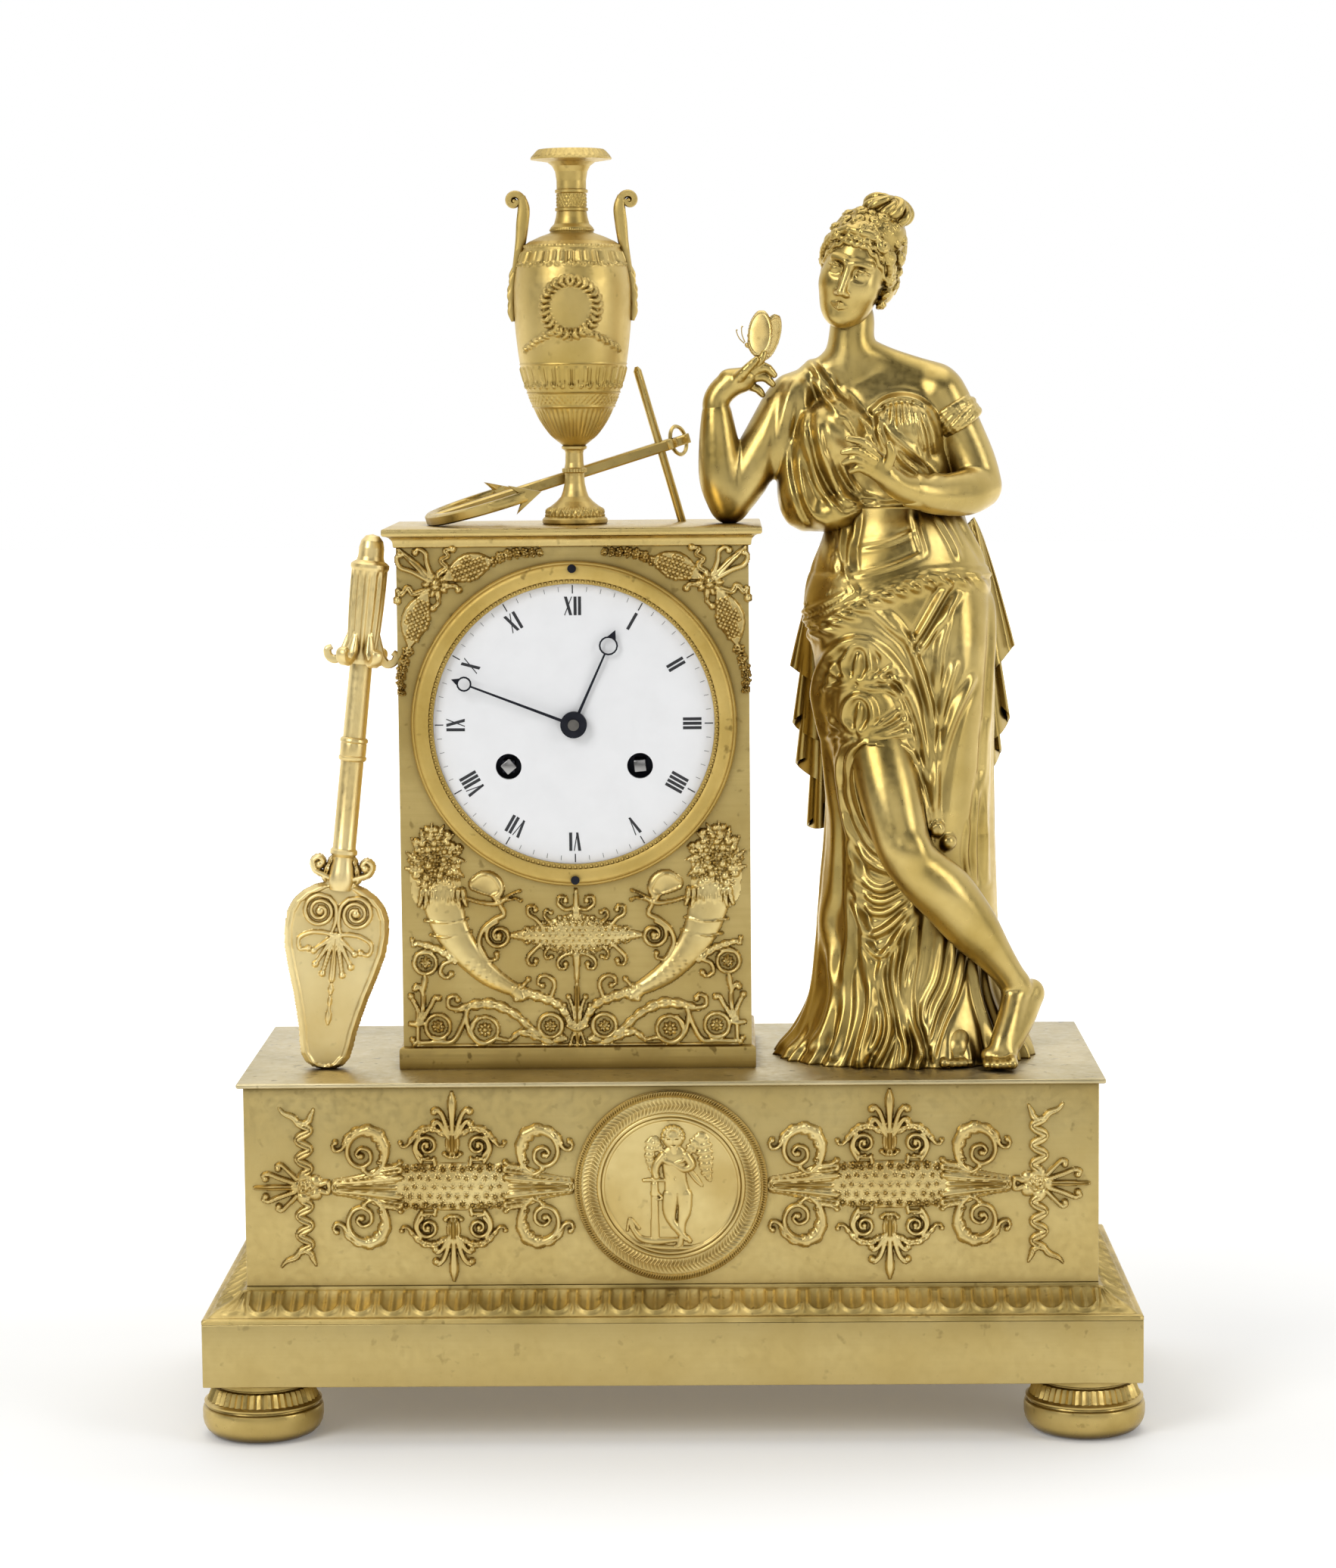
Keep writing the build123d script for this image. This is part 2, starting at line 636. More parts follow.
def plate():
    disc = Cylinder(PLATE_RADIUS, PLATE_THICKNESS, align=TOP) - Cylinder(bush_radius, 9 * PLATE_THICKNESS)
    for x, y in winding_places:
        disc -= Pos(x, y) * Cylinder(arbor_hole, 9 * PLATE_THICKNESS)
    for y in (escape_y, PALLET_HEIGHT):
        disc -= Pos(0, y) * Cylinder(pivot_hole, 9 * PLATE_THICKNESS)
    return disc


front_plate = Pos(0, 0, plate_front) * plate()
post_length = pinion_length + minute_wheel_z - plate_front
front_plate += Pos(0, -centre_distance, plate_front) * Cylinder(
    minute_post_radius, post_length, align=BOTTOM
)
save("front_plate", dial_plane * front_plate)

back_plate = Pos(0, 0, back_plate_front) * plate()
for x, y in (hammer_pivot, count_pivot):
    back_plate -= Pos(x, y, back_plate_back) * Cylinder(pivot_hole, 9 * PLATE_THICKNESS)

for x, y in pillar_places:
    back_plate += Pos(x, y, back_plate_front) * Cylinder(PILLAR_RADIUS, PLATE_SPACING, align=BOTTOM)

barrel_z = back_plate_front + 0.4 * (PLATE_SPACING - BARREL_LENGTH)
square_end = dial_front + 0.5 * DIAL_RISE
for side, (x, y) in zip(("strike", "going"), winding_places):
    drum = Cylinder(BARREL_RADIUS - 1.2, BARREL_LENGTH, align=BOTTOM)
    drum += Cylinder(BARREL_RADIUS, Wheel_THICKNESS, align=BOTTOM)
    drum -= Cylinder(arbor_hole, 4 * BARREL_LENGTH)
    save(f"{side}_barrel", dial_plane * Pos(x, y, barrel_z) * drum)
    arbor = Pos(0, 0, back_plate_back) * Cylinder(
        ARBOR_RADIUS, plate_front + 1 - back_plate_back, align=BOTTOM
    )
    arbor += Pos(0, 0, plate_front) * Box(
        WINDING_SQUARE, WINDING_SQUARE, square_end - plate_front, align=BOTTOM
    )
    arbor += Pos(0, 0, plate_front + GAP) * Cylinder(2.2 * ARBOR_RADIUS, Wheel_THICKNESS, align=BOTTOM)
    save(f"{side}_arbor", dial_plane * Pos(x, y) * arbor)


# Escapement and pendulum
def escape_wheel():
    points = []
    for i in range(ESCAPE_TEETH):
        angle = 360 * i / ESCAPE_TEETH
        points.append(polar(ESCAPE_RADIUS, angle))
        points.append(polar(0.84 * ESCAPE_RADIUS, angle + 90 / ESCAPE_TEETH))
        points.append(polar(0.84 * ESCAPE_RADIUS, angle + 270 / ESCAPE_TEETH))
    return extrude(make_face(outline(*points)), Wheel_THICKNESS)


escape_z = back_plate_front + 6.0
arbor_span = plate_front - back_plate_back
escape = Pos(0, 0, escape_z) * escape_wheel()
escape += Pos(0, 0, back_plate_back) * Cylinder(pivot_radius, arbor_span, align=BOTTOM)
save("escape_wheel", dial_plane * Pos(0, escape_y) * escape)

pendulum_z = back_plate_back - 2.0
anchor_drop = 0.75 * ESCAPE_RADIUS


def pallets():
    """The pallet arbor with its two arms over the escape wheel, and the crutch behind the back plate."""
    reach = ESCAPE_RADIUS + 2.2
    arms = make_face(
        outline(
            (0, 2.2),
            (reach, -anchor_drop),
            (reach - 1.4, -anchor_drop - 1.0),
            (0, -1.6),
            (1.4 - reach, -anchor_drop - 1.0),
            (-reach, -anchor_drop),
        )
    )
    shape = Pos(0, 0, escape_z) * extrude(arms, Wheel_THICKNESS)
    crutch_z = back_plate_back - GAP - CRUTCH_THICKNESS
    shape += Pos(0, 0, crutch_z) * Cylinder(pivot_radius, plate_front - crutch_z, align=BOTTOM)
    rail = Pos(0, -CRUTCH_DROP / 2) * Rectangle(2 * pivot_radius + 0.6, CRUTCH_DROP + 3 * pivot_radius)
    foot = Pos(0, -CRUTCH_DROP) * Rectangle(5 * CRUTCH_PIN_WIDTH, 1.5 * CRUTCH_PIN_WIDTH)
    shape += Pos(0, 0, crutch_z) * extrude(rail + foot, CRUTCH_THICKNESS)
    for side in (-1, 1):
        x = side * (ROD_RADIUS + CRUTCH_PIN_WIDTH / 2 + GAP)
        pin = Box(CRUTCH_PIN_WIDTH, CRUTCH_PIN_WIDTH, 3 * ROD_RADIUS + GAP, align=TOP)
        shape += Pos(x, -CRUTCH_DROP, crutch_z) * pin
    return shape


save("pallets", dial_plane * Pos(0, PALLET_HEIGHT) * pallets())

# The pendulum's eye hangs on a cock that stands on the back plate above the pallet arbor's end
rod_z = pendulum_z - GAP - ROD_RADIUS
eye_length = 2 * ROD_RADIUS
cock_back = rod_z - ROD_RADIUS - 1.0
cock_height = EYE_RADIUS + 0.8
cock = Pos(0, PALLET_HEIGHT, cock_back) * Cylinder(COCK_PIN_RADIUS, eye_length + 1.4, align=BOTTOM)
cock += Pos(0, PALLET_HEIGHT + cock_height / 2 - 1, cock_back) * Box(
    4.0, cock_height + 2.0, 0.8, align=TOP
)
cock += Pos(0, PALLET_HEIGHT + cock_height, cock_back - 0.8) * Box(
    4.0, 2.0, back_plate_back - cock_back + 0.8, align=(Align.CENTER, Align.MIN, Align.MIN)
)
cock -= Pos(0, PALLET_HEIGHT, back_plate_back) * Cylinder(EYE_RADIUS, 3.2, align=TOP)
back_plate += cock
save("back_plate", dial_plane * back_plate)

pendulum = Pos(0, 0, rod_z) * Cylinder(EYE_RADIUS, eye_length)
rod = Pos(0, 0, rod_z) * Rot(90, 0, 0) * Cylinder(ROD_RADIUS, PENDULUM_LENGTH, align=BOTTOM)
bob = Pos(0, -PENDULUM_LENGTH, rod_z) * Cylinder(BOB_RADIUS, BOB_THICKNESS)
bob = chamfer(bob.edges().filter_by(GeomType.CIRCLE), 0.35 * BOB_THICKNESS)
pendulum += [rod, bob]
pendulum -= Pos(0, 0, rod_z) * Cylinder(COCK_PIN_RADIUS + RUNNING_CLEARANCE, 4 * eye_length)
save("pendulum", dial_plane * Pos(0, PALLET_HEIGHT) * pendulum)

# Strike: bell on its stand, hammer and count wheel
bell_rim_z = rod_z - ROD_RADIUS - 1.2
bell_top_z = bell_rim_z - BELL_HEIGHT


def bell_dome(radius, height):
    """A shallow bowl with a flat crown."""
    return turned((0, 0), (radius, 0), (0.84 * radius, 0.55 * height), (0.16 * radius, height), (0, height))


bell = bell_dome(BELL_RADIUS, BELL_HEIGHT) - bell_dome(BELL_RADIUS - BELL_WALL, BELL_HEIGHT - BELL_WALL)
bell -= Cylinder(BELL_STAND_RADIUS, 4 * BELL_HEIGHT)
bell = Pos(*bell_place, bell_rim_z) * Rot(180, 0, 0) * bell
save("bell", dial_plane * bell)
stand = Pos(*bell_place, bell_top_z - 2.0) * Cylinder(
    BELL_STAND_RADIUS, back_plate_back - bell_top_z + 2.0, align=BOTTOM
)
stand += Pos(*bell_place, bell_top_z) * Cylinder(2 * BELL_STAND_RADIUS, 1.6, align=TOP)
stand += Pos(*bell_place, bell_top_z + BELL_WALL + GAP) * Cylinder(2 * BELL_STAND_RADIUS, 1.2, align=BOTTOM)
save("bell_stand", dial_plane * stand)

blow_x, blow_y = polar(BELL_RADIUS + HAMMER_HEAD_RADIUS + 0.8, HAMMER_HEAD_ANGLE)
blow_x += bell_place[0] - hammer_pivot[0]
blow_y += bell_place[1] - hammer_pivot[1]
arm_z = bell_rim_z - 1.6
hammer = Pos(0, 0, arm_z) * Cylinder(pivot_radius, back_plate_front - arm_z, align=BOTTOM)
hammer += Pos(0, 0, arm_z) * extrude(strip([(0, 0), (blow_x, blow_y)], 1.8), 1.2)
hammer += Pos(blow_x, blow_y, arm_z + 1.2) * Cylinder(
    HAMMER_HEAD_RADIUS, HAMMER_HEAD_LENGTH, align=TOP
)
save("hammer", dial_plane * Pos(*hammer_pivot) * hammer)


def count_wheel():
    wheel = Cylinder(COUNT_Wheel_RADIUS, 1.0, align=TOP)
    angle = 0.0
    for blows in range(1, 13):
        angle += 360 * blows / 78
        slot = Pos(*polar(COUNT_Wheel_RADIUS, angle)) * Rot(0, 0, angle) * Box(3.0, 0.9, 9)
        wheel -= slot
    return wheel


count = Pos(0, 0, back_plate_back - GAP) * count_wheel()
count += Pos(0, 0, back_plate_back - GAP - 1.0) * Cylinder(
    pivot_radius, PLATE_THICKNESS + GAP + 1.0, align=BOTTOM
)
save("count_wheel", dial_plane * Pos(*count_pivot) * count)

# Straps from the plates to the rear bezel, their screws, the rear bezel and its door
strap_places = [(sx * (PLATE_RADIUS + STRAP_THICKNESS / 2), 0) for sx in (-1, 1)]
case_back = -PEDESTAL_DEPTH
strap_screw_head = 1.7 * STRAP_SCREW_RADIUS
ring_back = case_back - REAR_RING_THICKNESS
straps, strap_screws = [], []
rear_bezel = Pos(0, 0, ring_back) * Cylinder(REAR_RING_RADIUS, REAR_RING_THICKNESS, align=BOTTOM)
rear_bezel -= Pos(0, 0, ring_back) * Cylinder(REAR_OPENING_RADIUS, 9 * REAR_RING_THICKNESS)
for x, y in strap_places:
    strap = Pos(x, y, case_back) * Box(
        STRAP_THICKNESS, STRAP_WIDTH, plate_front - case_back, align=BOTTOM
    )
    hole = Pos(x, y, ring_back) * Cylinder(STRAP_SCREW_RADIUS, STRAP_SCREW_LENGTH, align=BOTTOM)
    sink = Pos(x, y, ring_back) * Cylinder(strap_screw_head, 1.0, align=BOTTOM)
    straps.append(strap - hole)
    strap_screws.append(hole + sink)
    rear_bezel -= hole + sink

hinge_x = REAR_RING_RADIUS + HINGE_KNUCKLE_RADIUS + 1.5
hinge_z = ring_back - GAP - DOOR_THICKNESS / 2


def knuckle(low, high, root_x, root_z):
    """A hinge barrel from low to high along y, with a web to the piece that carries it."""
    length = high - low
    place = Pos(hinge_x, (low + high) / 2, hinge_z) * Rot(90, 0, 0)
    barrel = place * Cylinder(HINGE_KNUCKLE_RADIUS, length)
    web = Pos((root_x + hinge_x) / 2, (low + high) / 2, root_z) * Box(hinge_x - root_x, length, 1.6)
    return barrel + web


half_knuckle = HINGE_KNUCKLE_LENGTH / 2
ring_web_z = ring_back + 0.9
for sign in (-1, 1):
    low, high = sorted((sign * (half_knuckle + GAP), sign * (half_knuckle + GAP + 4.0)))
    web_x = REAR_RING_RADIUS - 3.0
    rear_bezel += Pos(hinge_x - 1.0, (low + high) / 2, (ring_web_z + hinge_z) / 2) * Box(
        2.0, high - low, abs(ring_web_z - hinge_z)
    )
    rear_bezel += knuckle(low, high, web_x, ring_web_z)
pin = Pos(hinge_x, 0, hinge_z) * Rot(90, 0, 0) * Cylinder(
    HINGE_PIN_RADIUS, HINGE_KNUCKLE_LENGTH + 2 * GAP + 8.0
)
rear_bezel -= pin
save("rear_bezel", dial_plane * rear_bezel)
save("door_pin", dial_plane * pin)
save("movement_straps", Compound([dial_plane * strap for strap in straps]))
save("strap_screws", Compound([dial_plane * screw for screw in strap_screws]))

door_front = ring_back - GAP
door = Pos(0, 0, door_front) * Cylinder(DOOR_RADIUS, DOOR_THICKNESS, align=TOP)
door += Pos(-DOOR_RADIUS + 6.0, 0, door_front - 0.5 * DOOR_THICKNESS) * Cylinder(
    DOOR_KNOB_RADIUS, 2 * DOOR_KNOB_RADIUS, align=TOP
)
door += knuckle(-half_knuckle, half_knuckle, DOOR_RADIUS - 3.0, hinge_z)
door -= Pos(hinge_x, 0, hinge_z) * Rot(90, 0, 0) * Cylinder(
    HINGE_PIN_RADIUS + RUNNING_CLEARANCE, 4 * HINGE_KNUCKLE_LENGTH
)
save("rear_door", dial_plane * door)

# Vase, with its foot, body and neck held together by a rod from the cornice
body_z = VASE_STEM_HEIGHT
neck_z = body_z + VASE_BODY_HEIGHT
lip_z = neck_z + VASE_NECK_HEIGHT
vase_place = Pos(PEDESTAL_X, 0, cornice_top)
collar = 1.3 * VASE_STEM_RADIUS
neck_base = 1.45 * VASE_NECK_RADIUS


def vase_foot():
    rim, knop_z = 0.075 * VASE_STEM_HEIGHT, 0.68 * VASE_STEM_HEIGHT
    top_z = VASE_STEM_HEIGHT - rim
    sweep_in = Bezier(
        (VASE_FOOT_RADIUS, rim),
        (0.85 * VASE_FOOT_RADIUS, 4.2 * rim),
        (1.1 * VASE_STEM_RADIUS, 3.2 * rim),
        (VASE_STEM_RADIUS, knop_z - rim),
    )
    return turned(
        (VASE_ROD_RADIUS, 0),
        (VASE_FOOT_RADIUS, 0),
        *faceted(sweep_in, 5),
        (1.2 * VASE_STEM_RADIUS, knop_z),
        (VASE_STEM_RADIUS, knop_z + rim),
        (0.9 * VASE_STEM_RADIUS, top_z),
        (collar, VASE_STEM_HEIGHT),
        (VASE_ROD_RADIUS, VASE_STEM_HEIGHT),
    )


def vase_body():
    """The egg of the vase, from its pointed bottom to the shoulder's edge and in to the neck."""
    belly, edge = body_z + 0.72 * VASE_BODY_HEIGHT, body_z + 0.94 * VASE_BODY_HEIGHT
    egg = Bezier(
        (collar, body_z),
        (0.78 * VASE_RADIUS, body_z + 0.1 * VASE_BODY_HEIGHT),
        (VASE_RADIUS, body_z + 0.42 * VASE_BODY_HEIGHT),
        (VASE_RADIUS, belly),
    )
    return turned(
        (VASE_ROD_RADIUS, body_z),
        *faceted(egg, 5),
        (0.4 * VASE_SHOULDER_RADIUS + 0.6 * VASE_RADIUS, 0.35 * belly + 0.65 * edge),
        (VASE_SHOULDER_RADIUS, edge),
        (neck_base, neck_z),
        (VASE_ROD_RADIUS, neck_z),
    )


def vase_neck():
    waist, flare = neck_z + 0.3 * VASE_NECK_HEIGHT, neck_z + 0.72 * VASE_NECK_HEIGHT
    lip_low = lip_z - VASE_LIP_HEIGHT
    mouth = 0.8 * VASE_LIP_RADIUS
    return turned(
        (VASE_ROD_RADIUS, neck_z),
        (neck_base, neck_z),
        (VASE_NECK_RADIUS, waist),
        (VASE_NECK_RADIUS, flare),
        (0.6 * VASE_LIP_RADIUS, lip_low),
        (VASE_LIP_RADIUS, lip_low),
        (mouth, lip_z),
        (mouth - VASE_WALL, lip_z),
        (mouth - VASE_WALL, lip_low),
        (VASE_ROD_RADIUS, lip_low),
    )


body = vase_body()
save("vase_foot", vase_place * vase_foot())
save("vase_body", vase_place * body)
save("vase_neck", vase_place * vase_neck())

rod_low = -CORNICE_HEIGHT - NUT_HEIGHT
rod_high = lip_z - VASE_LIP_HEIGHT
vase_rod = Pos(0, 0, rod_low) * Cylinder(VASE_ROD_RADIUS, rod_high - rod_low, align=BOTTOM)
vase_rod += Pos(0, 0, rod_low) * extrude(RegularPolygon(NUT_RADIUS, 6), NUT_HEIGHT)
save("vase_rod", vase_place * vase_rod)


def vase_handle():
    """The right-hand handle: a flat bar up from the belly that rolls outwards at its top."""
    foot_z, top_z = body_z + 0.62 * VASE_BODY_HEIGHT, neck_z + HANDLE_RISE
    seat = VASE_RADIUS + HANDLE_WIDTH / 2 - 0.5
    neck_x = VASE_SHOULDER_RADIUS + 0.2 * HANDLE_WIDTH
    bar = [
        (seat, foot_z),
        (seat, body_z + 0.78 * VASE_BODY_HEIGHT),
        (VASE_SHOULDER_RADIUS + 0.6 * HANDLE_WIDTH, neck_z - 2.0),
        (neck_x, top_z - HANDLE_SCROLL_RADIUS),
    ]
    eye = Vector(neck_x + HANDLE_SCROLL_RADIUS, top_z - HANDLE_SCROLL_RADIUS)
    roll = [eye + Vector(*polar(HANDLE_SCROLL_RADIUS, 180 - 47 * i)) for i in range(6)]
    flat = strip(bar, HANDLE_WIDTH) + strip(roll, 0.55 * HANDLE_WIDTH)
    flat += Pos(eye.X, eye.Y) * RegularPolygon(0.75 * HANDLE_SCROLL_RADIUS, 8)
    return extrude(Plane.XZ * flat, HANDLE_DEPTH / 2, both=True) - body


handle = vase_handle()
save("vase_handles", vase_place * Compound([handle, mirror(handle, about=Plane.YZ)]))

# Anchor. Its own axes run along the shank, along the arms and along the stock.
shank_dir = Vector(
    cos(radians(ANCHOR_YAW)) * cos(radians(ANCHOR_RISE)),
    sin(radians(ANCHOR_YAW)) * cos(radians(ANCHOR_RISE)),
    sin(radians(ANCHOR_RISE)),
)
arm_dir = Vector(-sin(radians(ANCHOR_YAW)), cos(radians(ANCHOR_YAW)), 0)
stock_dir = shank_dir.cross(arm_dir)
crown_lift = SHANK_THICKNESS / 2 * cos(radians(ANCHOR_RISE))
anchor_origin = Vector(PEDESTAL_X + ANCHOR_X, ANCHOR_Y, cornice_top + crown_lift)
anchor_plane = Plane(origin=anchor_origin, x_dir=shank_dir, z_dir=stock_dir)
eye_x = SHANK_LENGTH + STOCK_RADIUS + RING_EYE_RADIUS + 1.4


def anchor_flat():
    """Shank, arms and flukes as seen square on, with the crown at the left."""
    half, tip = SHANK_WIDTH / 2, eye_x + SHANK_TIP_LENGTH - 4.0
    shank = make_face(outline((0, -half), (tip, -0.6 * half), (tip, 0.6 * half), (0, half)))
    outer = ThreePointArc((ARM_REACH, -ARM_SPREAD), (0, 0), (ARM_REACH, ARM_SPREAD))
    inner = ThreePointArc((ARM_REACH, ARM_SPREAD), (SHANK_WIDTH, 0), (ARM_REACH, -ARM_SPREAD))
    arms = make_face(outline(*faceted(outer, 10), *faceted(inner, 10)[1:-1]))
    stock_boss = Pos(SHANK_LENGTH, 0) * Circle(STOCK_RADIUS + 1.5)
    ring_boss = Pos(eye_x, 0) * Circle(RING_EYE_RADIUS + 1.2)
    shapes = [shank, arms, stock_boss, ring_boss]
    for side in (-1, 1):
        barb = ARM_SPREAD + 3.0
        shapes.append(
            make_face(
                outline(
                    (ARM_REACH + 3.0, side * (ARM_SPREAD - 0.5)),
                    (ARM_REACH - 10.0, side * (barb + 1.0)),
                    (ARM_REACH - 6.0, side * (ARM_SPREAD - 3.0)),
                    (ARM_REACH - 5.0, side * (ARM_SPREAD - 8.0)),
                )
            )
        )
    return Sketch() + shapes


anchor = extrude(anchor_flat(), SHANK_THICKNESS / 2, both=True)
anchor -= Pos(SHANK_LENGTH, 0, 0) * Cylinder(STOCK_RADIUS, 9 * SHANK_THICKNESS)
anchor -= Pos(eye_x, 0, 0) * Cylinder(RING_EYE_RADIUS, 9 * SHANK_THICKNESS)
anchor = anchor_plane * anchor
table_cut = Pos(PEDESTAL_X, 0, cornice_top) * Box(4 * SHANK_LENGTH, 4 * ARM_SPREAD, 40, align=TOP)
anchor -= table_cut
save("anchor", anchor)

stock_foot = anchor_origin + shank_dir * SHANK_LENGTH
stock_drop = (stock_foot.Z - cornice_top) / stock_dir.Z + STOCK_RADIUS
stock = Pos(SHANK_LENGTH, 0, -stock_drop) * Cylinder(STOCK_RADIUS, stock_drop + STOCK_TOP, align=BOTTOM)
stock += Pos(SHANK_LENGTH, 0, STOCK_TOP) * Cone(STOCK_RADIUS, 0.4 * STOCK_RADIUS, STOCK_RADIUS, align=BOTTOM)
save("anchor_stock", anchor_plane * stock - table_cut)

wire = Pos(RING_RADIUS, 0) * RegularPolygon(RING_WIRE_RADIUS, 6)
hoop = revolve(Plane.XZ * wire, Axis.Z)
ring = Rot(0, 0, RING_TURN) * Pos(RING_RADIUS, 0, 0) * Rot(90, 0, 0) * hoop
save("anchor_ring", anchor_plane * Pos(eye_x, 0, 0) * ring)

# Steering oar, in its own plane: its foot on the slab, its head against the cornice's left edge
oar_foot = Vector(OAR_FOOT_X, OAR_FOOT_Y, slab_top)
oar_head_x = PEDESTAL_X - PEDESTAL_WIDTH / 2 - CORNICE_OVERHANG - 0.55 * OAR_HANDLE_RADIUS
oar_head = Vector(oar_head_x, OAR_TOP_Y, cornice_top)
oar_dir = (oar_head - oar_foot).normalized()
oar_length = (oar_head - oar_foot).length
oar_side = Vector(1, 0, 0) - oar_dir * oar_dir.X
oar_plane = Plane(origin=oar_foot, x_dir=oar_side, z_dir=oar_dir)
oar_front = Plane(origin=oar_foot, x_dir=oar_side, z_dir=oar_side.cross(oar_dir))
shaft_top = oar_length - OAR_HANDLE_LENGTH


def oar_blade():
    half, length = OAR_BLADE_WIDTH / 2, OAR_BLADE_LENGTH
    tip = 0.52 * half
    toe = ThreePointArc((0, 0), (0.75 * tip, 0.035 * length), (tip, 0.12 * length))
    swell = Bezier(
        (tip, 0.12 * length), (0.55 * half, 0.35 * length), (0.9 * half, 0.48 * length), (half, 0.72 * length)
    )
    crown = ThreePointArc((half, 0.72 * length), (0.8 * half, 0.92 * length), (0.4 * half, length))
    right = faceted(toe, 3) + faceted(swell, 5)[1:] + faceted(crown, 4)[1:]
    left = [Vector(-point.X, point.Y) for point in reversed(right[1:])]
    flat = make_face(outline(*right, *left))
    field = Pos(0, 0.08 * length) * scale(flat, by=0.84)
    blade = extrude(flat, OAR_BLADE_THICKNESS / 2, both=True)
    return blade - Pos(0, 0, 0.3 * OAR_BLADE_THICKNESS) * extrude(field, OAR_BLADE_THICKNESS)


def oar_shaft():
    """A round shaft with a collar half-way and a scrolled capital where it meets the blade."""
    low = OAR_BLADE_LENGTH
    foot = low + OAR_CAPITAL_LENGTH
    roll = 0.24 * OAR_CAPITAL_LENGTH
    half_collar = OAR_SHAFT_RADIUS
    middle = (foot + shaft_top) / 2
    shaft = turned(
        (0, foot),
        (OAR_SHAFT_RADIUS, foot),
        (OAR_SHAFT_RADIUS, middle - half_collar),
        (1.22 * OAR_SHAFT_RADIUS, middle),
        (OAR_SHAFT_RADIUS, middle + half_collar),
        (OAR_SHAFT_RADIUS, shaft_top),
        (0, shaft_top),
    )
    scroll_x = 2.5 * OAR_SHAFT_RADIUS
    scroll_z = low + 1.3 * roll
    capital = [
        (-scroll_x, low + 0.3 * roll),
        (scroll_x, low + 0.3 * roll),
        (1.15 * OAR_SHAFT_RADIUS, foot),
        (-1.15 * OAR_SHAFT_RADIUS, foot),
    ]
    flat = make_face(outline(*capital)) + Pos(0, low + 0.2 * roll) * Rectangle(0.9 * scroll_x, 0.4 * roll)
    for side in (-1, 1):
        flat += Pos(side * scroll_x, scroll_z) * RegularPolygon(roll, 10)
    return shaft + extrude(Plane.XZ * flat, 0.75 * OAR_SHAFT_RADIUS, both=True)


def oar_handle():
    """A lotus bud that grips the shaft, with its petals curling out at the bottom."""
    length, radius = OAR_HANDLE_LENGTH, OAR_HANDLE_RADIUS
    profile = [
        (0.95 * radius, 0),
        (0.86 * radius, 0.26 * length),
        (0.96 * radius, 0.52 * length),
        (radius, 0.76 * length),
        (0.48 * radius, 0.84 * length),
        (0.42 * radius, 0.93 * length),
        (0.16 * radius, length),
    ]
    bud = skin([ring_points(Plane.XY.offset(z), OAR_HANDLE_FLUTES, r, r) for r, z in profile])
    curl = [(0.75 * radius, 0.2 * length), (1.15 * radius, 0.1 * length), (1.35 * radius, 0.02 * length)]
    petal = extrude(Plane.XZ * strip(curl, 0.45 * radius), 0.3 * radius, both=True)
    for angle in range(0, 360, 90):
        bud += Rot(0, 0, angle) * petal
    return bud


save("oar_blade", oar_front * oar_blade() - Pos(0, 0, slab_top) * Box(400, 400, 40, align=TOP))
save("oar_shaft", oar_plane * oar_shaft())
save("oar_handle", oar_plane * Pos(0, 0, shaft_top) * oar_handle())

# Figure. Heights are above the slab, and x and y from the figure's own foot.
figure_place = Pos(FIGURE_X, FIGURE_Y, slab_top)
elbow_height = cornice_top - slab_top + ELBOW_RADIUS


def draped(height, left, right, front, back, folds, depth):
    """A section through hanging cloth: an oval with rounded folds round it."""
    middle_x, middle_y = (left + right) / 2, (front + back) / 2
    half_x, half_y = (right - left) / 2, (back - front) / 2
    points = []
    for i in range(2 * folds):
        angle = pi * i / folds
        swell = 1 - depth * (i % 2)
        x, y = middle_x + swell * half_x * cos(angle), middle_y + swell * half_y * sin(angle)
        points.append(Vector(x, y, height))
    return points


skirt_outline = [
    (0.00, -48.5, 48.0, -36, 26, 0.12),
    (0.05, -40.0, 42.5, -33, 25, 0.11),
    (0.16, -33.7, 35.5, -30, 24, 0.10),
    (0.35, -30.6, 32.5, -30, 24, 0.08),
    (0.56, -28.0, 31.4, -30, 24, 0.06),
    (0.72, -30.0, 32.2, -30, 24, 0.05),
    (0.83, -31.5, 31.5, -27, 23, 0.04),
    (0.92, -29.0, 26.5, -23, 20, 0.02),
    (1.00, -25.0, 21.5, -20, 17, 0.01),
]
skirt = skin(
    [
        draped(share * SKIRT_HEIGHT, left, right, front, back, SKIRT_FOLDS, depth)
        for share, left, right, front, back, depth in skirt_outline
    ]
)
for x, y in stud_places[2:]:
    skirt -= Pos(x - FIGURE_X, y - FIGURE_Y) * Cylinder(STUD_RADIUS, STUD_REACH, align=BOTTOM)


torso_outline = [
    (0.0, -36.0, 21.5, -21, 17),
    (7.0, -44.0, 20.0, -25, 18),
    (16.0, -45.3, 16.0, -26, 18),
    (29.0, -44.5, 12.5, -27, 18),
    (41.0, -44.0, 14.0, -25, 17),
    (50.0, -43.0, 18.5, -19, 15),
    (57.0, -38.0, 14.0, -14, 13),
    (62.0, -31.0, -4.0, -11, 10),
]
torso = skin([draped(SKIRT_HEIGHT + rise, *span, TORSO_SIDES // 2, 0) for rise, *span in torso_outline])

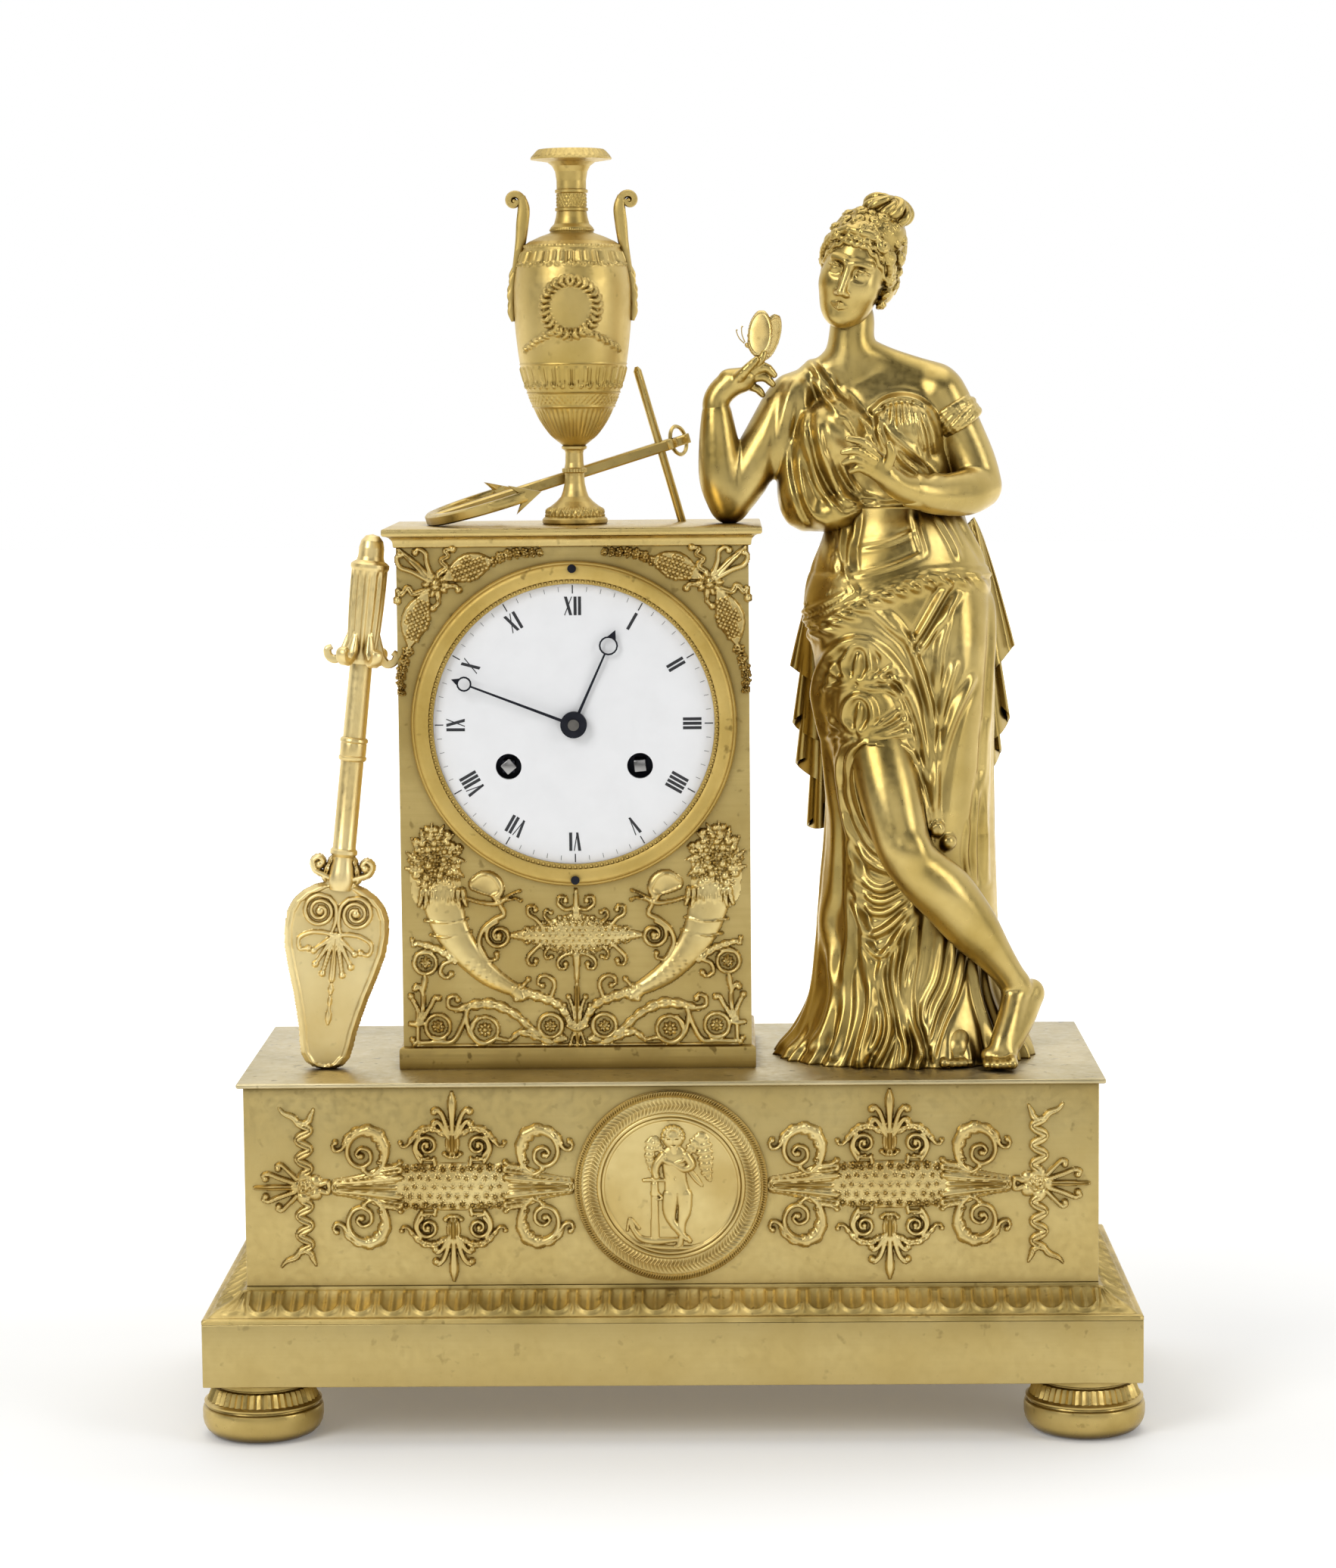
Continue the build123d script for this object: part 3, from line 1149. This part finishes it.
neck_foot = SKIRT_HEIGHT + 58.0
head_centre = Vector(-16.5, -4.0, SKIRT_HEIGHT + 90.5)
head = limb(
    [((-19.5, 0, neck_foot - 6), 10.5), ((-19.5, -1.5, neck_foot + 6), 8.4), ((-18, -3, neck_foot + 22), 8.6)]
)
head = fused(
    [
        head,
        ellipsoid(head_centre, (13.2, 15.6, 20.0), HEAD_TILT),
        ellipsoid(head_centre + Vector(2.6, 3.0, 8.0), (15.4, 16.0, 13.0), HEAD_TILT),
        ellipsoid(head_centre + Vector(11.0, 7.0, 20.0), (8.6, 8.0, 7.2), HEAD_TILT),
        limb([(head_centre + Vector(-1.5, -14.6, 3.0), 0.9), (head_centre + Vector(-3.2, -15.8, -4.5), 2.0)]),
    ]
)

right_elbow = (-64.0, -3.0)
right_arm = fused(
    [
        limb(
            [
                ((-38.0, -2.0, SKIRT_HEIGHT + 50.0), 9.6),
                ((-50.0, -3.0, 0.45 * (SKIRT_HEIGHT + 50.0) + 0.55 * elbow_height), 8.2),
                ((*right_elbow, elbow_height), ELBOW_RADIUS),
            ]
        ),
        ellipsoid((*right_elbow, elbow_height), 3 * (1.05 * ELBOW_RADIUS,)),
        limb(
            [
                ((*right_elbow, elbow_height), ELBOW_RADIUS),
                ((-66.8, -4.0, elbow_height + 15.0), 7.4),
                ((-68.2, -5.0, elbow_height + 36.5), 4.3),
                ((-66.0, -5.0, elbow_height + 42.0), 4.6),
                ((-57.0, -5.0, elbow_height + 47.0), 4.6),
                ((-47.0, -6.0, elbow_height + 48.5), 1.8),
            ]
        ),
    ]
)
left_elbow = (27.5, -4.0, SKIRT_HEIGHT + 14.0)
left_arm = fused(
    [
        limb(
            [
                ((12.5, -1.0, SKIRT_HEIGHT + 50.0), 8.6),
                ((20.0, -2.0, SKIRT_HEIGHT + 36.0), 7.6),
                (left_elbow, 6.8),
            ]
        ),
        ellipsoid(left_elbow, (7.2, 7.2, 7.2)),
        limb(
            [
                (left_elbow, 6.8),
                ((14.0, -19.0, SKIRT_HEIGHT + 14.5), 6.6),
                ((-4.5, -33.0, SKIRT_HEIGHT + 15.5), 4.0),
                ((-9.0, -36.0, SKIRT_HEIGHT + 19.0), 4.2),
                ((-15.0, -38.5, SKIRT_HEIGHT + 24.5), 4.2),
                ((-24.0, -41.0, SKIRT_HEIGHT + 28.0), 1.6),
            ]
        ),
    ]
)
heel = (45.0, -17.0, 20.5)
leg = fused(
    [
        limb(
            [
                ((-15.0, -17.0, 132.0), 12.5),
                ((-9.0, -27.0, 107.0), 11.5),
                ((-2.0, -35.0, 79.5), 8.8),
                ((11.0, -33.0, 59.5), 9.0),
                ((26.0, -27.0, 41.0), 6.0),
                ((38.0, -22.0, 29.0), 4.7),
                ((43.0, -20.0, 22.0), 4.9),
            ]
        ),
        ellipsoid(heel, (5.1, 5.1, 5.1)),
        limb([(heel, 4.8), ((38.5, -27.0, 14.0), 5.4), ((33.0, -35.0, 5.5), 4.6), ((31.0, -41.0, 3.2), 3.0)]),
    ]
)

torso -= skirt
head -= torso
right_arm = right_arm - torso - Pos(0, 0, cornice_top - slab_top) * Box(400, 400, 60, align=TOP)
left_arm = left_arm - torso - skirt
standing_foot = limb([((14, -24, 8.0), 7.0), ((17, -34, 6.0), 5.6), ((18.5, -43, 3.4), 3.2)])
ground = Box(400, 400, 60, align=TOP)
leg -= ground
skirt = skirt + standing_foot - ground
leg -= skirt
for node, shape in (
    ("figure_skirt", skirt),
    ("figure_torso", torso),
    ("figure_head", head),
    ("figure_right_arm", right_arm),
    ("figure_left_arm", left_arm),
    ("figure_leg", leg),
):
    save(node, figure_place * shape)

body_foot = Vector(-52.0, -6.5, elbow_height + 52.0)
butterfly = [limb([(body_foot - Vector(-1, 0, 3.4), 1.3), (body_foot + Vector(1.5, -1, 5), 1.1)])]
for turn in (-24, 38):
    rim = ring_points(Plane.XY, LIMB_SIDES, 0.4 * WING_LENGTH, 0.55 * WING_LENGTH)
    wing = extrude(make_face(outline(*rim)), WING_THICKNESS / 2, both=True)
    wing = Rot(0, 0, turn) * Pos(0, 0, 0.42 * WING_LENGTH) * Rot(90, 0, 0) * wing
    butterfly.append(Pos(*body_foot) * wing)
save("butterfly", figure_place * (fused(butterfly) - right_arm))


# Relief mounts on the frieze block and the pedestal
def frieze_mount():
    """A spindle of flowers in leaf sheaths between two palmettes, with scrolls at its four shoulders."""
    half, waist = FRIEZE_LENGTH / 2, FRIEZE_WAIST / 2
    end, sleeve, shoulder = 0.35 * waist, (0.64 * half, 0.55 * waist), (0.42 * half, waist)
    sheath = [
        (0, waist),
        shoulder,
        sleeve,
        (half, end),
        (half, -end),
        (sleeve[0], -sleeve[1]),
        (shoulder[0], -waist),
        (0, -waist),
    ]
    large_x, large_y, large = 0.775 * half, 1.7 * waist, 1.05 * waist
    small_x, small_y, small = 0.21 * half, 2.0 * waist, 0.63 * waist
    shapes = [make_face(outline(*sheath))]
    for up in (-1, 1):
        root = large_x - 0.53 * large, up * (large_y - 0.85 * large)
        shapes.append(volute(large_x, up * large_y, large, -122 * up, -up))
        shapes.append(strip([root, (large_x - 0.9 * large, up * 0.3 * waist)], SCROLL_WIDTH))
        shapes.append(volute(small_x, up * small_y, small, 150 * up, -up))
        shapes.append(Pos(small_x, up * 1.15 * waist) * Rectangle(0.55 * waist, 0.6 * waist))
    middle = []
    for up in (-1, 1):
        middle += palmette(0, up * 1.3 * waist, 3.45 * waist, up * 90)
        middle.append(Pos(0, up * 1.2 * waist) * Rectangle(0.7 * waist, waist))
    return middle, shapes


frieze_x = MEDALLION_RADIUS + GAP + FRIEZE_LENGTH / 2
rosette_x = frieze_x + FRIEZE_LENGTH / 2 + GAP + 1.4 * ROSETTE_RADIUS
frieze_z = block_z + BLOCK_HEIGHT / 2
for side, name in ((-1, "left"), (1, "right")):
    place = facing(side * frieze_x, block_front, frieze_z)
    save(f"frieze_mount_{name}", relief(place, *frieze_mount(), RELIEF))


def ribbon_mount():
    """A rosette with a palmette pointing outwards and a rippled ribbon above and below."""
    shapes = [RegularPolygon(ROSETTE_RADIUS, 10)]
    shapes.append(Pos(-ROSETTE_RADIUS, 0) * Rectangle(0.8 * ROSETTE_RADIUS, ROSETTE_RADIUS))
    shapes += palmette(0.6 * ROSETTE_RADIUS, 0, 2.9 * ROSETTE_RADIUS, 0)
    ripple = 0.3 * ROSETTE_RADIUS
    for up in (-1, 1):
        steps = [(0, 0.16), (ripple, 0.3), (-ripple, 0.46), (ripple, 0.62), (-ripple, 0.78), (ripple, 1.0)]
        places = [(x, up * share * RIBBON_HEIGHT / 2) for x, share in steps]
        shapes.append(strip(places, 1.4 * ripple))
    return shapes


ribbon = relief(facing(rosette_x, block_front, frieze_z), ribbon_mount(), [], RELIEF)
save("ribbon_mounts", Compound([ribbon, mirror(ribbon, about=Plane.YZ)]))

rim_in = MEDALLION_RADIUS - 0.8 * MEDALLION_THICKNESS
ring_out = MEDALLION_FIELD_RADIUS + 0.6 * MEDALLION_THICKNESS
medallion = turned(
    (0, 0),
    (MEDALLION_RADIUS, 0),
    (MEDALLION_RADIUS - 0.4 * MEDALLION_THICKNESS, MEDALLION_THICKNESS),
    (rim_in, 0.7 * MEDALLION_THICKNESS),
    (ring_out, 0.7 * MEDALLION_THICKNESS),
    (MEDALLION_FIELD_RADIUS, MEDALLION_THICKNESS),
    (MEDALLION_FIELD_RADIUS - 0.3 * MEDALLION_THICKNESS, 0.4 * MEDALLION_THICKNESS),
    (0, 0.4 * MEDALLION_THICKNESS),
)
save("medallion", facing(0, block_front, frieze_z) * medallion)


def cornucopia_mount():
    """Two horns of plenty tied at the bottom, a flowered lozenge between them and scrolls below."""
    horn = [(-54.5, 52), (-48, 37), (-34, 21.5), (-20, 18), (-20, 22), (-31, 30), (-38.5, 43), (-40, 52)]
    lozenge = [(0, 33), (0, 47), (-9, 44.5), (-23, 40), (-9, 35.5)]
    shapes = [
        make_face(outline(*horn)),
        make_face(outline(*ring_points(Plane((-48.5, 64)), 12, 9.5, 13.5))),
        strip([(-21, 20), (-10, 16), (-0.5, 8)], 4.0),
        make_face(outline(*lozenge)),
        volute(-27.5, 40, 5.2, 0, 1),
        volute(-9.4, 7.4, 4.8, 0, 1),
        strip([(-4.6, 7.4), (0.5, 7.4)], SCROLL_WIDTH),
        volute(-32.2, 6.2, 5.2, 180, 1),
        volute(-50, 6.6, 5.2, 0, -1),
        volute(-53.5, 30, 4.8, 0, 1),
        strip([(-48.7, 30), (-40, 31)], SCROLL_WIDTH),
        strip([(-13, 1.2), (-24, 11.5), (-35, 15), (-44, 16.5)], 3.0),
        Pos(-27, 1.2) * Rectangle(55, 2.0),
        make_face(outline(*ring_points(Plane((-32, 57.5)), 8, 6.2, 4.6))),
        strip([(-30.5, 54.5), (-27.5, 44.6)], SCROLL_WIDTH),
    ]
    middle = palmette(0, 45, 10.5, 90) + palmette(0, 7.4, 14, 90)
    middle.append(Pos(0, 17.4) * Rectangle(2.0, 34))
    return middle, shapes


save("cornucopia_mount", relief(facing(PEDESTAL_X, case_front, case_z + GAP), *cornucopia_mount(), RELIEF))


def spandrel_mount():
    """The left corner: a rosette, a flowered pod each way along the bezel and a fan into the corner."""
    x, y = -0.8 * BEZEL_RADIUS, 0.842 * BEZEL_RADIUS
    shapes = [Pos(x, y) * RegularPolygon(4.4, 10), leaf(x, y, 29, 7.0, 20), leaf(x, y, 32, 7.0, 248)]
    return shapes + palmette(x, y, 18, 135)


spandrel = relief(facing(0, case_front, dial_z), spandrel_mount(), [], RELIEF)
spandrels = Compound([spandrel, mirror(spandrel, about=Plane.YZ)])
save("spandrel_mounts", Pos(PEDESTAL_X, 0, 0) * spandrels)
